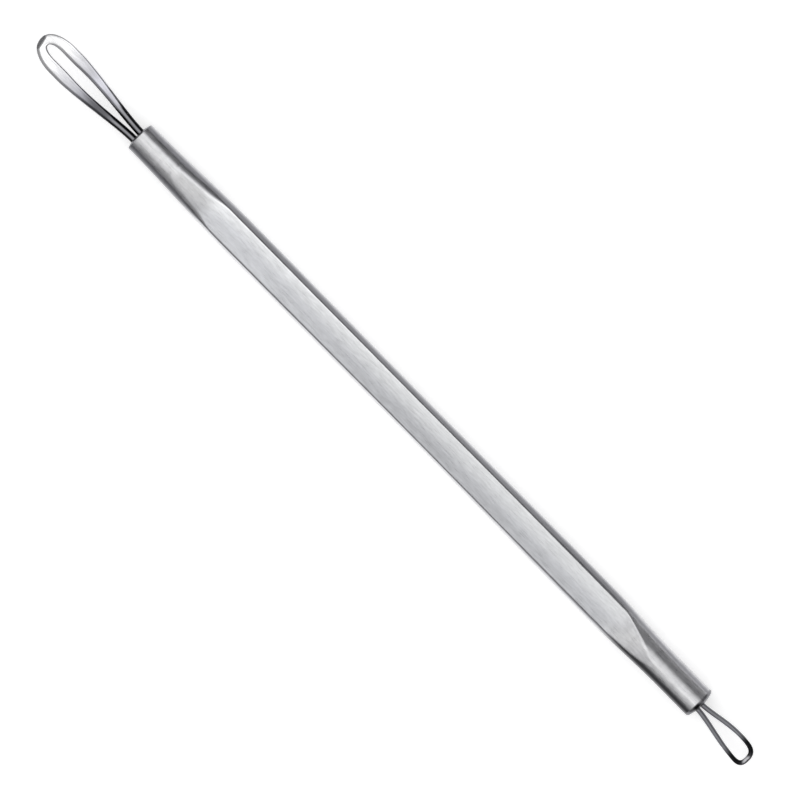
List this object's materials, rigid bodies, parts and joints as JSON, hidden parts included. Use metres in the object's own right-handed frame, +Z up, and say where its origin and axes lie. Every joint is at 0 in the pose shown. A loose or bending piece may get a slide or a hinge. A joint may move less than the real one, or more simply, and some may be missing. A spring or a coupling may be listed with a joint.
{
  "type": "blackhead extractor",
  "caption": "Slim stainless steel hand tool with a wire loop at each end and a grip pressed flat in the middle, for clearing blocked pores.",
  "frame": {"origin": "on the table under the middle of the tool's length, as it lies with a pressed flat upwards", "axes": "+X along the tool towards the large loop, +Z up and square to the pressed flats, +Y across the flats"},
  "size_m": [0.12, 0.0048, 0.0042],
  "materials": {
    "satin_steel": "stainless steel, brushed along its length, satin on the pressed flats",
    "polished_wire": "drawn stainless wire, polished bright",
    "silver_braze": "silver brazing alloy, dull from the flux"
  },
  "bodies": {
    "root": {"handle": "satin_steel", "large_loop": "polished_wire", "small_loop": "polished_wire", "large_loop_braze": "silver_braze", "small_loop_braze": "silver_braze"}
  },
  "joints": []
}
